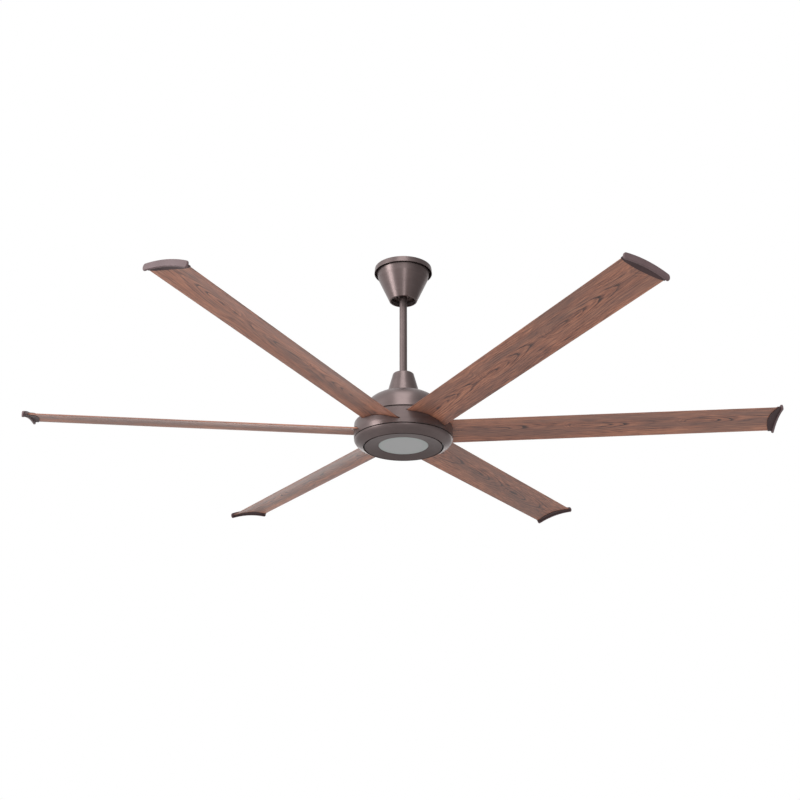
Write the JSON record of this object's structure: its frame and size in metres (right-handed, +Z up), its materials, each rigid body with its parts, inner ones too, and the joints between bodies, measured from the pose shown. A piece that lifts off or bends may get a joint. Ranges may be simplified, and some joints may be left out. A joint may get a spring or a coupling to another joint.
{
  "type": "ceiling fan",
  "caption": "Ceiling fan with a cone canopy, downrod, slotted drum hub with cambered wood blades in capped tips, and a flush round lamp below.",
  "frame": {"origin": "centre of the hanger bracket's top face, on the ceiling plane above the hub", "axes": "+Z up towards the ceiling, +X along the first blade and across the bracket, +Y across it"},
  "size_m": [2.1356, 1.9122, 0.5651],
  "materials": {
    "bronze": "satin brushed bronze with a fine spun grain",
    "zinc": "zinc plated",
    "steel": "machined",
    "earth_screw": "green passivated",
    "aluminium": "die cast, as cast",
    "laminations": "stacked electrical steel",
    "copper": "enamelled wire",
    "magnet": "bonded ferrite, matt",
    "housing_plastic": "moulded, fine matt",
    "board": "white solder mask",
    "blade_wood": "satin walnut grain",
    "tip_cap": "satin dark brown",
    "opal_lens": "frosted opal acrylic"
  },
  "bodies": {
    "ceiling_mount": {"hanger_bracket": "zinc", "canopy": "bronze", "canopy_ring": "bronze", "canopy_screw_left": "steel", "canopy_screw_right": "steel", "ground_screw": "earth_screw", "receiver_case": "housing_plastic", "receiver_cover": "housing_plastic"},
    "hanging_frame": {"hanger_ball": "zinc", "ball_cross_pin": "steel", "ball_set_screw": "steel", "downrod": "bronze", "coupling_cover": "bronze", "coupler": "zinc", "clevis_pin": "steel", "clevis_clip": "steel", "coupler_set_screw_left": "steel", "coupler_set_screw_right": "steel", "upper_housing": "bronze", "motor_shaft": "steel", "stator_core": "laminations", "stator_winding_upper": "copper", "stator_winding_lower": "copper", "upper_bearing_inner_ring": "steel", "lower_bearing_inner_ring": "steel", "light_kit_plate": "zinc", "shaft_nut": "steel", "lower_housing": "bronze", "led_driver": "housing_plastic", "led_plate": "aluminium", "led_board": "board", "light_trim": "bronze", "lens": "opal_lens"},
    "rotor": {"rotor_upper_shell": "aluminium", "rotor_lower_shell": "aluminium", "magnet_ring": "magnet", "upper_bearing_outer_ring": "steel", "lower_bearing_outer_ring": "steel", "hub_band": "bronze", "blade_carrier": "aluminium", "blade_1": "blade_wood", "blade_cap_1": "tip_cap", "blade_clamp_1": "steel", "blade_2": "blade_wood", "blade_cap_2": "tip_cap", "blade_clamp_2": "steel", "blade_3": "blade_wood", "blade_cap_3": "tip_cap", "blade_clamp_3": "steel", "blade_4": "blade_wood", "blade_cap_4": "tip_cap", "blade_clamp_4": "steel", "blade_5": "blade_wood", "blade_cap_5": "tip_cap", "blade_clamp_5": "steel", "blade_6": "blade_wood", "blade_cap_6": "tip_cap", "blade_clamp_6": "steel"},
    "upper_cage": {"upper_bearing_balls": "steel"},
    "lower_cage": {"lower_bearing_balls": "steel"}
  },
  "joints": [
    {"name": "hanger_tilt", "type": "hinge", "parent": "ceiling_mount", "child": "hanging_frame", "pos_m": [0, 0, -0.07], "axis": [1, 0, 0], "range_deg": [-15, 15]},
    {"name": "rotor_spin", "type": "hinge", "parent": "hanging_frame", "child": "rotor", "pos_m": [0, 0, -0.5234], "axis": [0, 0, 1], "continuous": true},
    {"name": "upper_cage_spin", "type": "hinge", "parent": "hanging_frame", "child": "upper_cage", "pos_m": [0, 0, -0.5234], "axis": [0, 0, 1], "continuous": true},
    {"name": "lower_cage_spin", "type": "hinge", "parent": "hanging_frame", "child": "lower_cage", "pos_m": [0, 0, -0.5234], "axis": [0, 0, 1], "continuous": true}
  ],
  "couplings": [
    {"joint": "upper_cage_spin", "follows": "rotor_spin", "ratio": 0.62},
    {"joint": "lower_cage_spin", "follows": "rotor_spin", "ratio": 0.62}
  ]
}
